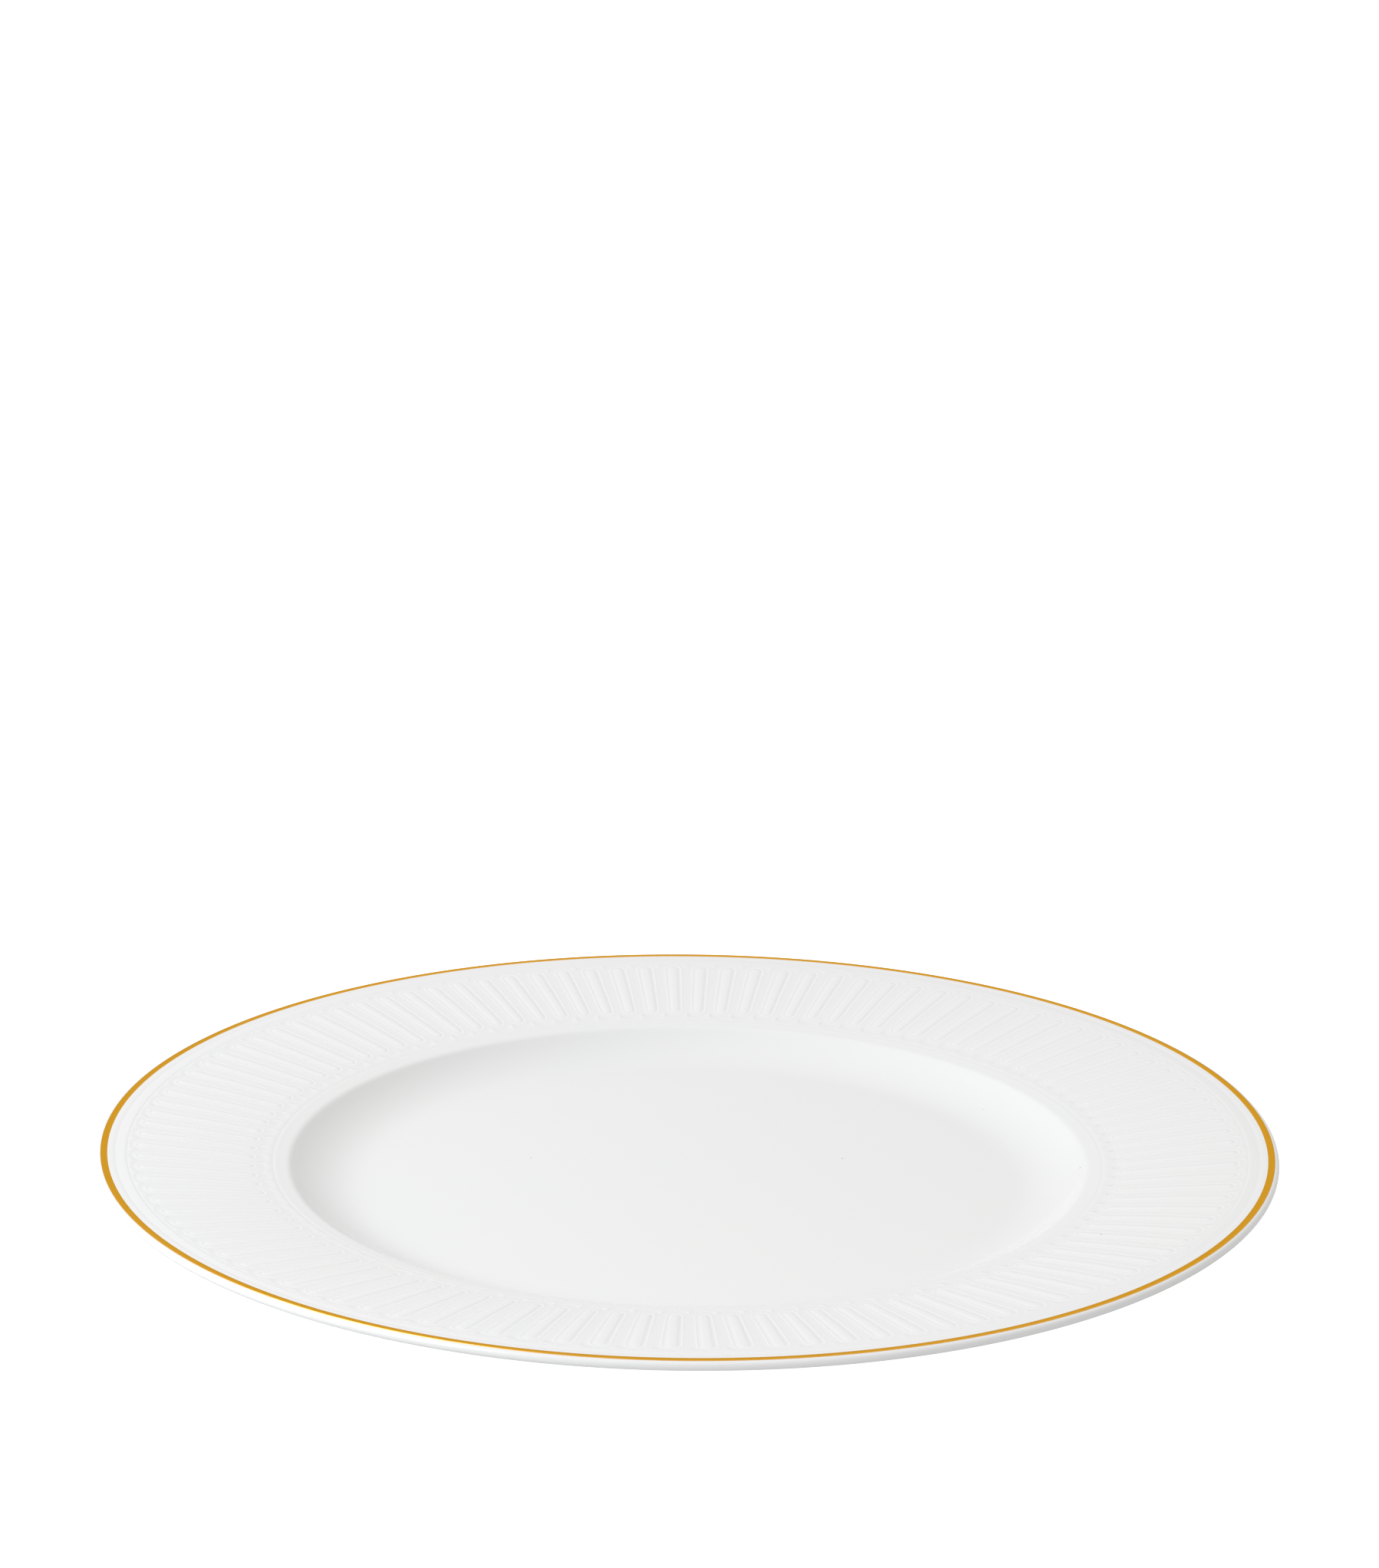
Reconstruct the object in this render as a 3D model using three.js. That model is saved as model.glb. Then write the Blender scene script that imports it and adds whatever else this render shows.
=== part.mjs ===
// A round porcelain dinner plate with a broad, gently rising rim and a gold line at its edge.
// It is built up as the real one is: a pressed and fired body, glaze over its face, its back and
// the recess inside its foot, and a gold line laid on the face's glaze. Millimetres, +Z up, with
// the origin on the plate's axis where its foot stands.
import * as THREE from "three";

// Driving dimensions.
const plateRadius = 135; // 270 mm across the edge
const wellRadius = 75.8; // the flat floor ends and the well's wall begins
const floorHeight = 6.6; // the well's floor above the table
const floorThickness = 4;
const wallCurve = 22.5; // radius of the hollow curve between the floor and the shoulder
const wallSteepest = 42; // degrees, just under the shoulder
const wallThickness = 3.6;
const shoulderCurve = 3; // radius of the rounded turn from the well's wall on to the rim
const rimSlopeInside = 10; // degrees, where the rim leaves the shoulder
const rimSlopeOutside = 6.5; // degrees, where the rim rolls over to its crest
const rollRadius = 131.5; // the roll begins here
const crestRadius = 133.4; // the rim is level here, under the gold line
const rimRootThickness = 3.4; // where the rim leaves the shoulder
const rimRootRadius = 96;
const edgeCurve = 1; // the lip is rounded over its whole thickness of 2 mm
const footRadius = 78.5; // middle of the foot ring
const footFaceWidth = 2.4; // the bare ring that the plate stands on
const footFlare = 1.8; // how far each side of the foot spreads between its face and its root
const footFillet = 1.5; // how far the recess's floor runs before it is flat
const glazeThickness = 0.2;
const glazeStop = 0.5; // the glaze is wiped off the foot below this height
const goldWidth = 1.35;
const goldThickness = 0.1;
const goldOuterRadius = 134.05;

const turnSteps = 48; // facets round the plate
const rimStretches = 4; // facets across the rim
const radians = THREE.MathUtils.degToRad;
const point = (r, z) => new THREE.Vector2(r, z);

// Points on an arc about (r, z), at the given angles in degrees, counted from +r towards +z.
const arc = (r, z, radius, angles) =>
  angles.map((a) => point(r + radius * Math.cos(radians(a)), z + radius * Math.sin(radians(a))));

// The rim's top leaves the shoulder and flattens a little, evenly, on its way to the roll.
const wallCentre = point(wellRadius, floorHeight + wallCurve);
const wallTop = arc(wallCentre.x, wallCentre.y, wallCurve, [wallSteepest - 90])[0];
const shoulderCentre = point(
  wallTop.x + shoulderCurve * Math.sin(radians(wallSteepest)),
  wallTop.y - shoulderCurve * Math.cos(radians(wallSteepest)),
);
const rimStart = arc(shoulderCentre.x, shoulderCentre.y, shoulderCurve, [90 + rimSlopeInside])[0];
function rimHeight(r) {
  const way = (r - rimStart.x) / (rollRadius - rimStart.x);
  const slopeInside = Math.tan(radians(rimSlopeInside));
  const slopeOutside = Math.tan(radians(rimSlopeOutside));
  return rimStart.y + (r - rimStart.x) * (slopeInside + ((slopeOutside - slopeInside) * way) / 2);
}

// The roll is an arc that ends level at the crest, and the edge beyond it is one round nose.
const rollRise = (crestRadius - rollRadius) * Math.tan(radians(rimSlopeOutside / 2));
const crestHeight = rimHeight(rollRadius) + rollRise;
const edgeRadius = plateRadius - edgeCurve;
const edgeHeight = crestHeight - edgeCurve;
const goldOuterAngle = THREE.MathUtils.radToDeg(Math.acos((goldOuterRadius - edgeRadius) / edgeCurve));
const goldInnerRadius = goldOuterRadius - goldWidth;
const rimRootUnderside = rimHeight(rimRootRadius) - rimRootThickness;

// Points that part the rim's top into equal stretches.
const rimTop = [];
for (let i = 1; i <= rimStretches; i++) {
  const r = THREE.MathUtils.lerp(rimStart.x, rollRadius, i / rimStretches);
  rimTop.push(point(r, rimHeight(r)));
}

// The glazed surface, from the middle of the well, over the rim and round to the nose's underside.
const goldSeat = [
  point(goldInnerRadius, crestHeight),
  ...arc(edgeRadius, edgeHeight, edgeCurve, [goldOuterAngle]),
];
const faceSurface = [
  point(0, floorHeight),
  point(wellRadius / 2, floorHeight),
  ...arc(wallCentre.x, wallCentre.y, wallCurve, [-90, -80, -70, -60]),
  wallTop,
  ...arc(shoulderCentre.x, shoulderCentre.y, shoulderCurve, [120, 109]),
  rimStart,
  ...rimTop,
  ...goldSeat,
  ...arc(edgeRadius, edgeHeight, edgeCurve, [55, 28, 0, -28, -55, -81]),
];

// The glazed surface again, along the rim's underside and down the foot's outside.
const footFaceOuter = footRadius + footFaceWidth / 2;
const footFaceInner = footRadius - footFaceWidth / 2;
const footSide = floorHeight - floorThickness; // height at which the foot's sides meet the underside
const flareAt = (z) => footFlare * Math.sqrt(z / footSide);
const backSurface = [
  point(rimRootRadius, rimRootUnderside),
  ...arc(wallCentre.x, wallCentre.y, wallCurve + wallThickness, [-54, -63, -72]),
  point(footFaceOuter + flareAt(footSide), footSide + 0.6),
  point(footFaceOuter + flareAt(1), 1),
  point(footFaceOuter + flareAt(glazeStop), glazeStop),
];

// The recess inside the foot, from the foot's inside to the axis.
const recessSurface = [
  point(footFaceInner - flareAt(glazeStop), glazeStop),
  point(footFaceInner - flareAt(1), 1),
  point(footFaceInner - flareAt(footSide), footSide - 0.2),
  point(footFaceInner - flareAt(footSide) - footFillet, footSide),
  point(wellRadius / 2, footSide),
  point(0, footSide),
];

// A line of points moved into the plate by a distance, along the normal at each point.
function sunk(line, distance) {
  return line.map((p, i) => {
    const before = line[Math.max(i - 1, 0)];
    const after = line[Math.min(i + 1, line.length - 1)];
    const along = after.clone().sub(before).normalize();
    const moved = point(p.x + along.y * distance, p.y - along.x * distance);
    return p.x === 0 ? point(0, moved.y) : moved;
  });
}

// A solid of revolution about Z from a closed profile that runs clockwise in the (r, z) half plane.
function turned(name, profile, finish) {
  const closed = profile[0].x === 0 ? profile : [...profile, profile[0]];
  const geometry = new THREE.LatheGeometry(closed.slice().reverse(), turnSteps);
  geometry.rotateX(Math.PI / 2);
  const mesh = new THREE.Mesh(geometry, new THREE.MeshStandardMaterial(finish));
  mesh.name = name;
  return mesh;
}

// A coat that lies between an outer surface and the body's surface under it.
const coat = (name, outer, inner, finish) => turned(name, [...outer, ...inner.slice().reverse()], finish);

const bisque = { color: 0xe9e4da, roughness: 0.85, metalness: 0 };
const glaze = { color: 0xf3f3f0, roughness: 0.12, metalness: 0 };
const gold = { color: 0xdca53c, roughness: 0.22, metalness: 1 };

const outside = [...faceSurface, ...backSurface];
const bodyOutside = sunk(outside, glazeThickness);
const bodyRecess = sunk(recessSurface, glazeThickness);
const seam = faceSurface.length - 1; // where the face's coat ends and the back's begins

const plate = new THREE.Group();
plate.add(
  turned(
    "porcelain_body",
    [...bodyOutside, point(footFaceOuter, 0), point(footFaceInner, 0), ...bodyRecess],
    bisque,
  ),
  coat("face_glaze", outside.slice(0, seam + 1), bodyOutside.slice(0, seam + 1), glaze),
  coat("back_glaze", outside.slice(seam), bodyOutside.slice(seam), glaze),
  coat("recess_glaze", recessSurface, bodyRecess, glaze),
  coat("gold_line", sunk(goldSeat, -goldThickness), goldSeat, gold),
);

export default plate;
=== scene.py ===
from math import cos, hypot, pi, radians, sin, sqrt, tan

import bmesh
import bpy
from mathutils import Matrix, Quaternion, Vector


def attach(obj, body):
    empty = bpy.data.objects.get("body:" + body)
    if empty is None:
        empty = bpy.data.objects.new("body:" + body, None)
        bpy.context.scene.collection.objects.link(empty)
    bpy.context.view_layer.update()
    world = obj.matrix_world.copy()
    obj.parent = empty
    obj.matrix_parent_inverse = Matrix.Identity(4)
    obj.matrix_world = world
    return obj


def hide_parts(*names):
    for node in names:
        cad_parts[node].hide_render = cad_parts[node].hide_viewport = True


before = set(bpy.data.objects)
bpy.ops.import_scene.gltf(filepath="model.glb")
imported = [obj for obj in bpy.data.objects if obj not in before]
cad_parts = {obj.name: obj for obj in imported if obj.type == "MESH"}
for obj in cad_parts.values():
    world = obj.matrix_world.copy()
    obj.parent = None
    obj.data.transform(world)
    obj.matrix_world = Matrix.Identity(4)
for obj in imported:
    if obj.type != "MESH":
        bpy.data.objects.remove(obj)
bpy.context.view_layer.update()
print("frame loaded:", sorted(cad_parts))

mm = 0.001

# ---- the plate's section: r out from the axis, z up from the table, both in millimetres

plate = {
    "radius": 135,
    "wellRadius": 75.8,  # where the flat floor ends
    "floorHeight": 6.6,
    "floorThickness": 4,
    "wallCurve": 22.5,  # hollow curve from the floor up to the shoulder
    "wallSteepest": 42,  # degrees
    "wallThickness": 3.6,
    "shoulderCurve": 3,
    "rimSlopeInside": 10,  # degrees, at the shoulder
    "rimSlopeOutside": 6.5,  # degrees, where the rim rolls over to its crest
    "rollRadius": 131.5,
    "crestRadius": 133.4,  # level here, under the gold
    "rimRoot": 96,
    "rimRootThickness": 3.4,
    "edgeCurve": 1,
    "edgeTurn": 81,  # degrees that the face's glaze goes on round the nose, below level
    "footRadius": 78.5,
    "footFaceWidth": 2.4,
    "footFlare": 1.8,
    "footFillet": 1.5,
    "glaze": 0.2,  # thickness of the coats
    "glazeStop": 0.5,  # wiped off the foot below this height
}


def arc(centre, radius, start, end, steps):
    angles = [radians(start + (end - start) * i / steps) for i in range(steps + 1)]
    return [centre + radius * Vector((cos(a), sin(a))) for a in angles]


wallCentre = Vector((plate["wellRadius"], plate["floorHeight"] + plate["wallCurve"]))
wallTop = arc(wallCentre, plate["wallCurve"], plate["wallSteepest"] - 90, 0, 1)[0]
steepest = radians(plate["wallSteepest"])
shoulderCentre = wallTop + plate["shoulderCurve"] * Vector((sin(steepest), -cos(steepest)))
rimStart = arc(shoulderCentre, plate["shoulderCurve"], 90 + plate["rimSlopeInside"], 0, 1)[0]
noseRadius = plate["radius"] - plate["edgeCurve"]


def rimHeight(r):
    # flattens evenly from the shoulder to the roll, which then ends level at the crest
    inside, outside = tan(radians(plate["rimSlopeInside"])), tan(radians(plate["rimSlopeOutside"]))
    length = plate["rollRadius"] - rimStart.x
    way = min(r, plate["rollRadius"]) - rimStart.x
    roll = plate["crestRadius"] - plate["rollRadius"]
    past = max(0, min(r - plate["rollRadius"], roll))
    height = rimStart.y + way * (inside + (outside - inside) * way / length / 2)
    return height + outside * (past - past ** 2 / roll / 2)


crestHeight = rimHeight(plate["crestRadius"])
noseCentre = Vector((noseRadius, crestHeight - plate["edgeCurve"]))

# ---- mesh helpers


def flatCopy(bm, name, sharpFrom=50):
    # closes seams and poles, turns the faces out and makes the object
    bmesh.ops.remove_doubles(bm, verts=bm.verts, dist=0.002)
    bmesh.ops.dissolve_degenerate(bm, edges=bm.edges, dist=0.0005)
    bmesh.ops.recalc_face_normals(bm, faces=bm.faces)
    bmesh.ops.scale(bm, vec=(mm, mm, mm), verts=bm.verts)
    mesh = bpy.data.meshes.new(name)
    bm.to_mesh(mesh)
    bm.free()
    mesh.shade_smooth()
    mesh.set_sharp_from_angle(angle=radians(sharpFrom))
    piece = bpy.data.objects.new(name, mesh)
    bpy.context.scene.collection.objects.link(piece)
    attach(piece, "root")
    return piece


def turned(name, section, steps, closed=False, sharpFrom=50):
    # a section line spun once round the axis, as on a potter's wheel
    bm = bmesh.new()
    verts = [bm.verts.new((r, 0, z)) for r, z in section]
    edges = [bm.edges.new(pair) for pair in zip(verts, verts[1:])]
    if closed:
        edges.append(bm.edges.new((verts[-1], verts[0])))
    bmesh.ops.spin(bm, geom=verts + edges, cent=(0, 0, 0), axis=(0, 0, 1), angle=2 * pi,
                   steps=steps, use_merge=True)
    return flatCopy(bm, name, sharpFrom)


def sunk(line, depth):
    # the same line, moved into the plate along its normals
    moved = []
    for i, p in enumerate(line):
        along = (line[min(i + 1, len(line) - 1)] - line[max(i - 1, 0)]).normalized()
        q = p + depth * Vector((along.y, -along.x))
        moved.append(Vector((0, q.y)) if p.x == 0 else q)
    return moved


# ---- face glaze: one wedge with one pressed reed in it, turned round the plate

press = {
    "repeats": 108,
    "middle": 115,  # radius where the widths below are true; they fan out with the radius
    "startTurn": 1.33,  # degrees
    "sink": 0.05,  # the pressed band lies this far below the plain rim
    "reed": [(0, 0.105), (0.4, 0.1), (0.72, 0.085), (0.94, 0.06), (1.08, 0.03), (1.2, 0)],
    "bead": [(1.72, 0), (1.82, 0.01), (1.91, 0.03), (1.98, 0.038), (2.05, 0.03), (2.14, 0.01), (2.24, 0)],
    "outerEnd": 124.3,  # centres of the reed's two round ends
    "innerEnd": 101.0,
    "outerArch": (1.1, 1.8),  # scalloped border: its cusp past the end's centre, and its rise
    "innerArch": (2.4, 2.0),
    "archStep": 0.35,
    "endSteps": 8,
    "sideSteps": 2,
}
halfPitch = pi * press["middle"] / press["repeats"]

# rings between the pressed band and the gold: radius and height above the plain rim
outerRings = [(127.9, 0), (128.05, -0.03), (128.2, 0), (128.45, 0.03), (128.75, 0.03), (129, 0),
              (130.5, 0), (130.68, -0.035), (130.86, 0), (131.5, 0), (132, 0), (132.5, 0), (132.95, 0), (133.4, 0)]
innerRings = [(95.5, 0), (95.3, -0.035), (95.1, 0), (94.85, 0.02), (94.3, 0.02), (94, 0), (93.2, 0)]


def newVerts(made):
    return [g for g in made["geom"] if isinstance(g, bmesh.types.BMVert)]


def leadingEdges(made):
    # the edges that go on from what was just extruded or spun
    if "geom_last" in made:
        return [g for g in made["geom_last"] if isinstance(g, bmesh.types.BMEdge)]
    verts = set(newVerts(made))
    return [g for g in made["geom"] if isinstance(g, bmesh.types.BMEdge) and verts.issuperset(g.verts)]


def pullRow(bm, edges, place):
    made = bmesh.ops.extrude_edge_only(bm, edges=edges)
    for v in newVerts(made):
        v.co = place(v.co)
    return leadingEdges(made)


def pullRows(bm, edges, section):
    for r, z in section:
        edges = pullRow(bm, edges, lambda co, r=r, z=z: Vector((co.x, r, z)))
    return edges


def archEdges(bm, centre, way):
    # the border edges of the pressed band beyond one of the reed's ends
    return [e for e in bm.edges if e.is_boundary and all((v.co.y - centre) * way > -0.01 for v in e.verts)
            and max(hypot(v.co.x, v.co.y - centre) for v in e.verts) > halfPitch - 0.01
            and min(hypot(v.co.x, v.co.y - centre) for v in e.verts) > halfPitch - 0.01]


def pressReed(bm):
    # the motif's section goes round the outer end, down one side, round the inner end and back up
    section = press["reed"] + press["bead"] + [(2.75, 0), (halfPitch, 0)]
    outer, inner = press["outerEnd"], press["innerEnd"]
    verts = [bm.verts.new((x, outer, h)) for x, h in section]
    edges = [bm.edges.new(pair) for pair in zip(verts, verts[1:])]
    step = Vector((0, (inner - outer) / press["sideSteps"], 0))
    for centre, way in ((outer, 1), (inner, -1)):
        made = bmesh.ops.spin(bm, geom=edges, cent=(0, centre, 0), axis=(0, 0, 1), angle=pi,
                              steps=press["endSteps"])
        edges = leadingEdges(made)
        for _ in range(press["sideSteps"]):
            edges = pullRow(bm, edges, lambda co, step=step * way: co + step)
    bmesh.ops.remove_doubles(bm, verts=bm.verts, dist=0.002)


def markPoolsAndPaintedLight(bm):
    # glaze runs thick in the hollows beside the reed (1) and thin over the bead (-1) and the reed's top (down to
    # -0.25); the glaze colour turns this into painted shade in the hollows and a painted highlight on the tops,
    # besides the glaze's own tone
    poolAndPaintedLight = bm.verts.layers.float.new("poolAndPaintedLight")
    reedEdge, beadTop = press["reed"][-1][0], max(h for _, h in press["bead"])
    for v in bm.verts:
        away = hypot(v.co.x, max(0, v.co.y - press["outerEnd"], press["innerEnd"] - v.co.y))
        if away < reedEdge - 0.01:
            v[poolAndPaintedLight] = -0.25 * v.co.z / press["reed"][0][1]
        elif away < press["bead"][0][0] - 0.01:
            v[poolAndPaintedLight] = 1
        elif away < press["bead"][-1][0]:
            v[poolAndPaintedLight] = -v.co.z / beadTop


def shapeArches(bm):
    # outside the bead the round ends are drawn into the scalloped border
    beadEnd = press["bead"][-1][0]
    for v in bm.verts:
        for centre, way, (cusp, rise) in ((press["outerEnd"], 1, press["outerArch"]),
                                          (press["innerEnd"], -1, press["innerArch"])):
            past = (v.co.y - centre) * way
            away = hypot(v.co.x, past)
            if past > -0.01 and away > beadEnd:
                t = (away - beadEnd) / (halfPitch - beadEnd)
                v.co.y = centre + way * (past * (1 - t) + t * (cusp + rise * past / away))


def pressedWedge(bm):
    pressReed(bm)
    outerBorder = archEdges(bm, press["outerEnd"], 1)
    innerBorder = archEdges(bm, press["innerEnd"], -1)
    markPoolsAndPaintedLight(bm)
    shapeArches(bm)
    for v in bm.verts:
        v.co.z += rimHeight(v.co.y) - press["sink"]
    step = press["archStep"]
    outerRow = pullRow(bm, outerBorder, lambda co: Vector((co.x, co.y + step, rimHeight(co.y + step))))
    innerRow = pullRow(bm, innerBorder, lambda co: Vector((co.x, co.y - step, rimHeight(co.y - step))))
    nose = arc(noseCentre, plate["edgeCurve"], 90, -plate["edgeTurn"], 12)
    shoulder = arc(shoulderCentre, plate["shoulderCurve"], 90 + plate["rimSlopeInside"],
                   90 + plate["wallSteepest"], 6)
    wall = arc(wallCentre, plate["wallCurve"], plate["wallSteepest"] - 90, -90, 9)[1:]
    floor = [Vector((plate["wellRadius"] * part, plate["floorHeight"])) for part in (0.97, 0.66, 0.33, 0)]
    pullRows(bm, innerRow, [(r, rimHeight(r) + h) for r, h in innerRings] + shoulder + wall + floor)
    hidden = hiddenFace()
    pullRows(bm, outerRow, [(r, rimHeight(r) + h) for r, h in outerRings] + nose + hidden)


def hiddenFace():
    # the glaze's own underside, from the nose back to the axis, below the deepest press
    depth = plate["glaze"] + press["sink"] + 0.1
    nose = arc(noseCentre, plate["edgeCurve"] - plate["glaze"], -plate["edgeTurn"], 60, 4)
    rim = [Vector((r, rimHeight(r) - depth)) for r in (132.4, 113, 94)]
    shoulder = arc(shoulderCentre, plate["shoulderCurve"] - depth, 100, 130, 2)
    wall = arc(wallCentre, plate["wallCurve"] + plate["glaze"], plate["wallSteepest"] - 92, -90, 4)
    return nose + rim + shoulder + wall + [Vector((0, plate["floorHeight"] - plate["glaze"]))]


def makeFaceGlaze():
    bm = bmesh.new()
    pressedWedge(bm)
    for v in bm.verts:  # widths are angles, so the wedge fans out from the axis
        turn = v.co.x / press["middle"] + radians(press["startTurn"])
        v.co = Vector((v.co.y * sin(turn), v.co.y * cos(turn), v.co.z))
    bmesh.ops.remove_doubles(bm, verts=bm.verts, dist=0.002)
    more = press["repeats"] - 1
    bmesh.ops.spin(bm, geom=bm.verts[:] + bm.edges[:] + bm.faces[:], cent=(0, 0, 0), axis=(0, 0, 1),
                   angle=2 * pi * more / press["repeats"], steps=more, use_duplicate=True)
    piece = flatCopy(bm, "faceGlaze")
    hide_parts("face_glaze")
    return piece


faceGlaze = makeFaceGlaze()
print("face glaze:", len(faceGlaze.data.polygons), "faces")

# ---- the rest of the plate

footOuter = plate["footRadius"] + plate["footFaceWidth"] / 2
footInner = plate["footRadius"] - plate["footFaceWidth"] / 2
underside = plate["floorHeight"] - plate["floorThickness"]


def flareAt(z):
    return plate["footFlare"] * sqrt(z / underside)


def backLine():
    nose = arc(noseCentre, plate["edgeCurve"], -plate["edgeTurn"], -plate["edgeTurn"] - 2, 1)[:1]
    root = Vector((plate["rimRoot"], rimHeight(plate["rimRoot"]) - plate["rimRootThickness"]))
    rim = [nose[0].lerp(root, part) for part in (0.25, 0.5, 0.75)]
    wall = arc(wallCentre, plate["wallCurve"] + plate["wallThickness"], -54, -72, 6)
    bend = [root.lerp(wall[0], 0.25) + Vector((0.15, 0.12)), root.lerp(wall[0], 0.6) + Vector((0.1, 0.08))]
    heights = (underside + 0.6, underside, 1.6, 1, plate["glazeStop"])
    foot = [Vector((footOuter + flareAt(min(z, underside)) * (1 if z <= underside else 1.12), z)) for z in heights]
    return nose + rim + bend + wall + foot


def recessLine():
    side = [Vector((footInner - flareAt(z), z)) for z in (plate["glazeStop"], 1, 1.6, underside - 0.5)]
    corner = Vector((footInner - flareAt(underside), underside))
    fillet = [corner + Vector((-0.15, -0.16)), corner + Vector((-0.6, -0.02)), corner - Vector((plate["footFillet"], 0))]
    return side + fillet + [Vector((r, underside)) for r in (60, 30, 0)]


def makeCoat(name, node, line, steps):
    piece = turned(name, line + sunk(line, plate["glaze"])[::-1], steps, closed=line[-1].x > 0)
    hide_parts(node)
    return piece


backGlaze = makeCoat("backGlaze", "back_glaze", backLine(), 432)
recessGlaze = makeCoat("recessGlaze", "recess_glaze", recessLine(), 288)
print("back and recess glaze:", len(backGlaze.data.polygons), len(recessGlaze.data.polygons), "faces")


def makeBody():
    # the fired body fills the coats and shows only on the foot's face
    face = hiddenFace()[::-1]
    back = sunk(backLine(), plate["glaze"])
    recess = sunk(recessLine(), plate["glaze"])
    soften = 0.18
    foot = [Vector((footOuter + flareAt(0.2), 0.2)), Vector((footOuter - 0.05, 0.04)),
            Vector((footOuter - soften, 0)), Vector((footInner + soften, 0)),
            Vector((footInner + 0.05, 0.04)), Vector((footInner - flareAt(0.2), 0.2))]
    piece = turned("porcelainBody", face + back + foot + recess, 288)
    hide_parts("porcelain_body")
    return piece


porcelainBody = makeBody()

goldBand = {
    "inner": 132.45,
    "outer": 134,
    "thickness": (0.02, 0.09),  # at its inner and its outer side, where the brush left more
    "bedded": 0.04,
    "feather": 0.08,
    "steps": 864,
}


def faceLine(r):
    # height of the glaze under the gold, over the rim and the first part of the nose
    if r <= noseRadius:
        return rimHeight(r)
    return noseCentre.y + sqrt(plate["edgeCurve"] ** 2 - (r - noseRadius) ** 2)


def makeGold():
    inner, outer, feather = goldBand["inner"], goldBand["outer"], goldBand["feather"]
    thin, thick = goldBand["thickness"]
    parts = [0, 0.02, 0.055, 0.2, 0.35, 0.5, 0.65, 0.8, 0.945, 0.98, 1]
    top = []
    for part in parts:
        r = inner + (outer - inner) * part
        fromEdge = min(r - inner, outer - r)
        height = (thin + (thick - thin) * part) * min(1, fromEdge / feather) ** 0.5
        top.append(Vector((r, faceLine(r) + height)))
    bed = [Vector((p.x, faceLine(p.x) - goldBand["bedded"])) for p in (top[-1], top[len(top) // 2], top[0])]
    piece = turned("goldLine", top + bed, goldBand["steps"], closed=True)
    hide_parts("gold_line")
    return piece


goldLine = makeGold()
print("body and gold:", len(porcelainBody.data.polygons), len(goldLine.data.polygons), "faces")

# ---- shader groups that the finishes share


def newGroup(name, inputs, outputs):
    group = bpy.data.node_groups.new(name, "ShaderNodeTree")
    for label, kind, value in inputs:
        socket = group.interface.new_socket(label, in_out="INPUT", socket_type=kind)
        if value is not None:
            socket.default_value = value
    for label, kind in outputs:
        group.interface.new_socket(label, in_out="OUTPUT", socket_type=kind)
    return group, group.nodes.new("NodeGroupInput"), group.nodes.new("NodeGroupOutput")


def addMath(tree, operation, a, b=None, c=None, clamp=False):
    node = tree.nodes.new("ShaderNodeMath")
    node.operation = operation
    node.use_clamp = clamp
    for socket, value in zip(node.inputs, (a, b, c)):
        if isinstance(value, bpy.types.NodeSocket):
            tree.links.new(value, socket)
        elif value is not None:
            socket.default_value = value
    return node.outputs[0]


def addNoise(tree, vector, scale, detail=2, roughness=0.5):
    node = tree.nodes.new("ShaderNodeTexNoise")
    tree.links.new(vector, node.inputs["Vector"])
    if isinstance(scale, bpy.types.NodeSocket):
        tree.links.new(scale, node.inputs["Scale"])
    else:
        node.inputs["Scale"].default_value = scale
    node.inputs["Detail"].default_value = detail
    node.inputs["Roughness"].default_value = roughness
    return node


def rippleGroup():
    # a fired glaze's slow swells and fine orange peel, as a height in metres
    group, into, out = newGroup("glazeRipple", [("Vector", "NodeSocketVector", None),
                                                ("Swell", "NodeSocketFloat", 0.00002),
                                                ("Peel", "NodeSocketFloat", 0.000002)],
                                [("Height", "NodeSocketFloat")])
    swell = addNoise(group, into.outputs["Vector"], 45, 1)
    peel = addNoise(group, into.outputs["Vector"], 420, 2)
    swellHeight = addMath(group, "MULTIPLY", swell.outputs["Fac"], into.outputs["Swell"])
    height = addMath(group, "MULTIPLY_ADD", peel.outputs["Fac"], into.outputs["Peel"], swellHeight)
    group.links.new(height, out.inputs["Height"])
    return group


def speckGroup():
    # iron specks: a few cells of a voronoi field each hold one pin-prick
    group, into, out = newGroup("kilnSpecks", [("Vector", "NodeSocketVector", None),
                                               ("Cells per metre", "NodeSocketFloat", 60),
                                               ("Rarity", "NodeSocketFloat", 0.9),
                                               ("Size", "NodeSocketFloat", 0.02)],
                                [("Mask", "NodeSocketFloat")])
    cells = group.nodes.new("ShaderNodeTexVoronoi")
    cells.voronoi_dimensions = "2D"
    group.links.new(into.outputs["Vector"], cells.inputs["Vector"])
    group.links.new(into.outputs["Cells per metre"], cells.inputs["Scale"])
    pick = group.nodes.new("ShaderNodeSeparateColor")
    group.links.new(cells.outputs["Color"], pick.inputs["Color"])
    chosen = addMath(group, "GREATER_THAN", pick.outputs["Red"], into.outputs["Rarity"])
    radius = addMath(group, "MULTIPLY", pick.outputs["Green"], into.outputs["Size"])
    near = addMath(group, "DIVIDE", cells.outputs["Distance"], radius)
    soft = addMath(group, "SUBTRACT", 1.3, near, clamp=True)
    group.links.new(addMath(group, "MULTIPLY", soft, chosen), out.inputs["Mask"])
    return group


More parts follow.
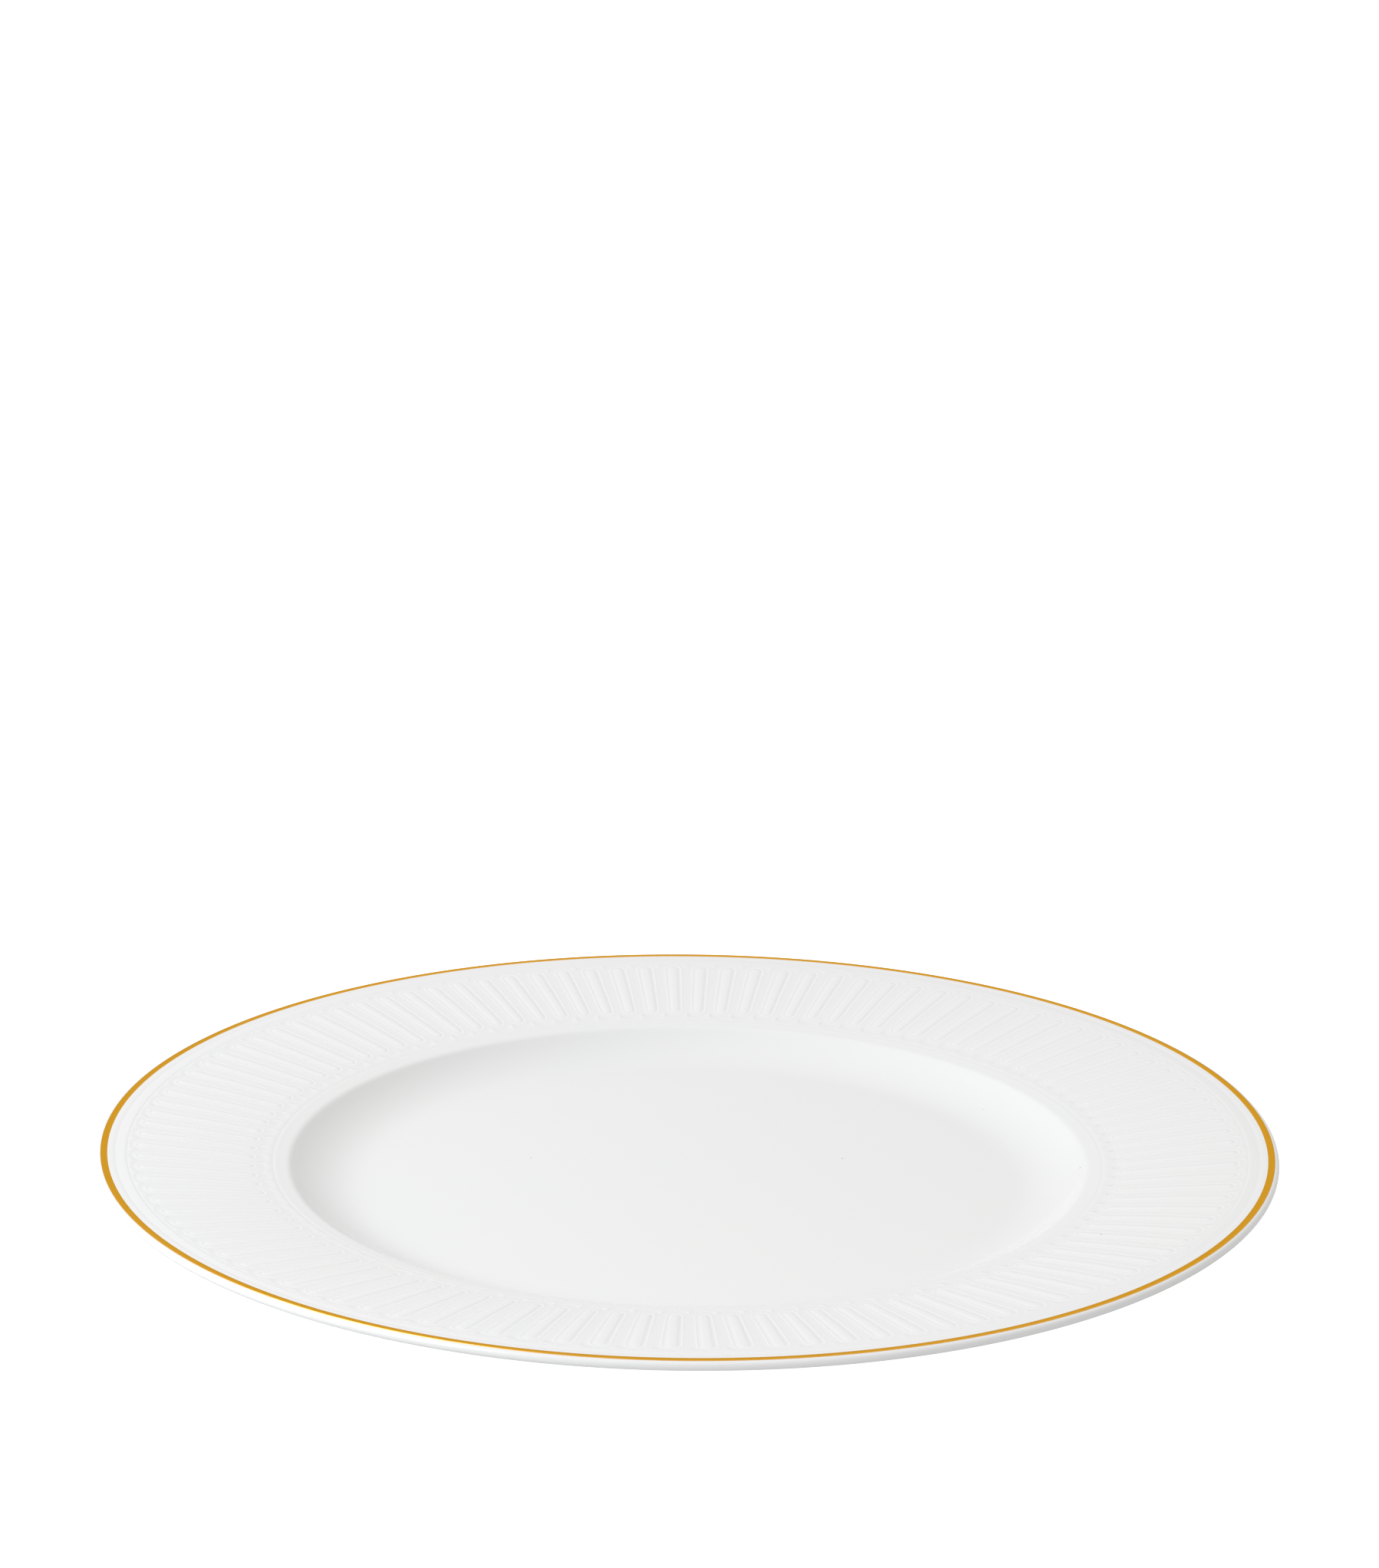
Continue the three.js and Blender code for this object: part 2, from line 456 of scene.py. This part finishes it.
def driftGroup():
    # slow drift in tone over a palm's width with a finer cloud in it, from -1 to 1
    group, into, out = newGroup("toneDrift", [("Vector", "NodeSocketVector", None),
                                              ("Per metre", "NodeSocketFloat", 14)],
                                [("Drift", "NodeSocketFloat")])
    cloud = addNoise(group, into.outputs["Vector"], into.outputs["Per metre"], 3, 0.55)
    group.links.new(addMath(group, "MULTIPLY_ADD", cloud.outputs["Fac"], 2, -1), out.inputs["Drift"])
    return group


ripple, specks, drift = rippleGroup(), speckGroup(), driftGroup()


def newMaterial(name):
    material = bpy.data.materials.new(name)
    material.use_nodes = True
    tree = material.node_tree
    place = tree.nodes.new("ShaderNodeTexCoord").outputs["Object"]
    return material, tree, tree.nodes["Principled BSDF"], place


def useGroup(tree, group, place, **values):
    node = tree.nodes.new("ShaderNodeGroup")
    node.node_tree = group
    tree.links.new(place, node.inputs["Vector"])
    for label, value in values.items():
        node.inputs[label.replace("_", " ")].default_value = value
    return node.outputs[0]


def mixColour(tree, factor, a, b, blend="MIX"):
    node = tree.nodes.new("ShaderNodeMix")
    node.data_type = "RGBA"
    node.blend_type = blend
    for socket, value in zip((node.inputs[0], node.inputs[6], node.inputs[7]), (factor, a, b)):
        if isinstance(value, bpy.types.NodeSocket):
            tree.links.new(value, socket)
        else:
            socket.default_value = value
    return node.outputs[2]


def addBump(tree, shader, height, distance=1.0, strength=1.0):
    bump = tree.nodes.new("ShaderNodeBump")
    bump.inputs["Distance"].default_value = distance
    bump.inputs["Strength"].default_value = strength
    tree.links.new(height, bump.inputs["Height"])
    tree.links.new(bump.outputs["Normal"], shader.inputs["Normal"])


# ---- finishes

glazeFinish = {
    "white": (0.8, 0.802, 0.803, 1),
    "warm": (0.81, 0.805, 0.795, 1),
    "poolAndPaintedLight": (0.765, 0.77, 0.772, 1),  # slightly cooler where the glaze runs thick, and darker there as painted shade in the hollows
    # painted highlight colour for the bead's crest and the reed's top, partly the thinner glaze there
    "crest": (0.86, 0.86, 0.855, 1),
    "speck": (0.22, 0.19, 0.16, 1),
    "roughness": 0.14,
    "ior": 1.5,
}


def glazeMaterial():
    material, tree, shader, place = newMaterial("glaze")
    tone = useGroup(tree, drift, place, Per_metre=11)
    warmth = addMath(tree, "MULTIPLY_ADD", tone, 0.5, 0.4, clamp=True)
    colour = mixColour(tree, warmth, glazeFinish["white"], glazeFinish["warm"])
    depth = tree.nodes.new("ShaderNodeAttribute")
    depth.attribute_name = "poolAndPaintedLight"
    # painted shade: the hollows beside the reed are mixed towards the darker pool colour, along with the thick
    # glaze's slightly cooler tone
    pooledAndShaded = addMath(tree, "MULTIPLY", depth.outputs["Fac"], 0.25, clamp=True)
    colour = mixColour(tree, pooledAndShaded, colour, glazeFinish["poolAndPaintedLight"])
    # painted highlight: the bead's crest and the reed's top are mixed towards the lighter crest colour, partly for
    # the thinner glaze over them
    thinnedAndHighlit = addMath(tree, "MULTIPLY", depth.outputs["Fac"], -1, clamp=True)
    colour = mixColour(tree, thinnedAndHighlit, colour, glazeFinish["crest"])
    mask = useGroup(tree, specks, place, Cells_per_metre=55, Rarity=0.93, Size=0.014)
    colour = mixColour(tree, mask, colour, glazeFinish["speck"])
    tree.links.new(colour, shader.inputs["Base Color"])
    finger = useGroup(tree, drift, place, Per_metre=35)
    tree.links.new(addMath(tree, "MULTIPLY_ADD", finger, 0.02, glazeFinish["roughness"]), shader.inputs["Roughness"])
    shader.inputs["IOR"].default_value = glazeFinish["ior"]
    addBump(tree, shader, useGroup(tree, ripple, place, Swell=0.000008, Peel=0.0000004))
    return material


bisqueFinish = {"pale": (0.74, 0.71, 0.66, 1), "worn": (0.58, 0.55, 0.5, 1), "roughness": 0.82}


def bisqueMaterial():
    material, tree, shader, place = newMaterial("bisque")
    tone = useGroup(tree, drift, place, Per_metre=60)
    colour = mixColour(tree, addMath(tree, "MULTIPLY_ADD", tone, 0.8, 0.35, clamp=True),
                       bisqueFinish["pale"], bisqueFinish["worn"])
    mask = useGroup(tree, specks, place, Cells_per_metre=900, Rarity=0.8, Size=0.18)
    colour = mixColour(tree, addMath(tree, "MULTIPLY", mask, 0.6), colour, (0.32, 0.28, 0.23, 1))
    tree.links.new(colour, shader.inputs["Base Color"])
    grain = addNoise(tree, place, 2600, 3, 0.6).outputs["Fac"]
    tree.links.new(addMath(tree, "MULTIPLY_ADD", grain, 0.2, bisqueFinish["roughness"] - 0.1),
                   shader.inputs["Roughness"])
    addBump(tree, shader, grain, distance=0.00006)
    return material


goldFinish = {
    "bright": (0.98, 0.53, 0.13, 1),
    "deep": (0.9, 0.43, 0.075, 1),
    "edge": (0.56, 0.45, 0.12, 1),  # what it reflects at a glancing angle
    "roughness": 0.28,
}


def goldMaterial():
    # brushed on as the plate turns, so its streaks run round the rim
    material, tree, shader, place = newMaterial("gold")
    flat = tree.nodes.new("ShaderNodeVectorMath")
    flat.operation = "MULTIPLY"
    flat.inputs[1].default_value = (1, 1, 0)
    tree.links.new(place, flat.inputs[0])
    radius = tree.nodes.new("ShaderNodeVectorMath")
    radius.operation = "LENGTH"
    tree.links.new(flat.outputs["Vector"], radius.inputs[0])
    joined = tree.nodes.new("ShaderNodeCombineXYZ")
    tree.links.new(addMath(tree, "MULTIPLY", radius.outputs["Value"], 60), joined.inputs["X"])
    split = tree.nodes.new("ShaderNodeSeparateXYZ")
    tree.links.new(place, split.inputs[0])
    tree.links.new(split.outputs["X"], joined.inputs["Y"])
    tree.links.new(split.outputs["Y"], joined.inputs["Z"])
    streak = addNoise(tree, joined.outputs["Vector"], 90, 3, 0.6).outputs["Fac"]
    tone = useGroup(tree, drift, place, Per_metre=26)
    shade = addMath(tree, "MULTIPLY_ADD", streak, 0.9, addMath(tree, "MULTIPLY_ADD", tone, 0.35, -0.3), clamp=True)
    colour = mixColour(tree, shade, goldFinish["bright"], goldFinish["deep"])
    tree.links.new(colour, shader.inputs["Base Color"])
    shader.inputs["Metallic"].default_value = 1
    shader.inputs["Specular Tint"].default_value = goldFinish["edge"]
    tree.links.new(addMath(tree, "MULTIPLY_ADD", streak, 0.16, goldFinish["roughness"] - 0.08),
                   shader.inputs["Roughness"])
    addBump(tree, shader, streak, distance=0.00002)
    return material


glaze = glazeMaterial()
for piece in (faceGlaze, backGlaze, recessGlaze):
    piece.data.materials.append(glaze)
porcelainBody.data.materials.append(bisqueMaterial())
goldLine.data.materials.append(goldMaterial())
print("finishes made")

# ---- floor, light and camera

studio = {
    "floorSize": 30,
    "floorColour": (0.6, 0.6, 0.6, 1),
    "floorGlow": (0.17, 0.75),  # on the plate, and what the camera sees besides
    "room": 0.641,
    "roomTilt": (-0.03, 0.13, 0.16),  # how much more towards x, y and overhead
    "roomColour": (1, 0.997, 0.99, 1),
    "panelColour": (0.955, 0.972, 1),
}


def makeFloor():
    bm = bmesh.new()
    bmesh.ops.create_grid(bm, x_segments=1, y_segments=1, size=studio["floorSize"] / 2)
    mesh = bpy.data.meshes.new("floor")
    bm.to_mesh(mesh)
    bm.free()
    floor = bpy.data.objects.new("floor", mesh)
    bpy.context.scene.collection.objects.link(floor)
    material, tree, shader, _ = newMaterial("floor")
    shader.inputs["Base Color"].default_value = studio["floorColour"]
    shader.inputs["Roughness"].default_value = 0.9
    shader.inputs["Emission Color"].default_value = (1, 1, 1, 1)
    seen = tree.nodes.new("ShaderNodeLightPath").outputs["Is Camera Ray"]
    glow, seenGlow = studio["floorGlow"]
    tree.links.new(addMath(tree, "MULTIPLY_ADD", seen, seenGlow, glow), shader.inputs["Emission Strength"])
    mesh.materials.append(material)


def makeLight(name, place, size, power, aim=(0, 0, 0.01)):
    data = bpy.data.lights.new(name, "AREA")
    data.shape = "DISK"
    data.size = size
    data.energy = power
    data.color = studio["panelColour"]
    light = bpy.data.objects.new(name, data)
    light.location = place
    light.rotation_mode = "QUATERNION"
    light.rotation_quaternion = (Vector(aim) - Vector(place)).to_track_quat("-Z", "Y")
    bpy.context.scene.collection.objects.link(light)


def makeRoom():
    world = bpy.data.worlds.new("room")
    world.use_nodes = True
    tree = world.node_tree
    way = tree.nodes.new("ShaderNodeVectorMath")
    way.operation = "DOT_PRODUCT"
    tree.links.new(tree.nodes.new("ShaderNodeTexCoord").outputs["Generated"], way.inputs[0])
    way.inputs[1].default_value = studio["roomTilt"]
    strength = addMath(tree, "ADD", way.outputs["Value"], studio["room"])
    tree.links.new(strength, tree.nodes["Background"].inputs["Strength"])
    tree.nodes["Background"].inputs["Color"].default_value = studio["roomColour"]
    bpy.context.scene.world = world


makeFloor()
makeRoom()
makeLight("key", (-0.69, -0.31, 0.58), 0.85, 5.95)

view = {"distance": 0.8975, "elevation": 19.93, "aimUp": 0.0821, "aimAcross": -0.0004, "roll": 0.54, "lens": 89.06}


def makeCamera():
    centre = Vector((0, 0, crestHeight * mm))
    up = radians(view["elevation"])
    camera = bpy.data.objects.new("camera", bpy.data.cameras.new("camera"))
    camera.location = centre + view["distance"] * Vector((0, -cos(up), sin(up)))
    aim = centre + Vector((view["aimAcross"], 0, view["aimUp"]))
    camera.rotation_mode = "QUATERNION"
    roll = Quaternion((0, 0, 1), radians(view["roll"]))
    camera.rotation_quaternion = (aim - camera.location).to_track_quat("-Z", "Y") @ roll
    camera.data.sensor_width = 36
    camera.data.lens = view["lens"]
    camera.data.clip_start, camera.data.clip_end = 0.02, 60
    bpy.context.scene.collection.objects.link(camera)
    bpy.context.scene.camera = camera


makeCamera()
bpy.context.scene.view_settings.view_transform = "Standard"
print("studio set")
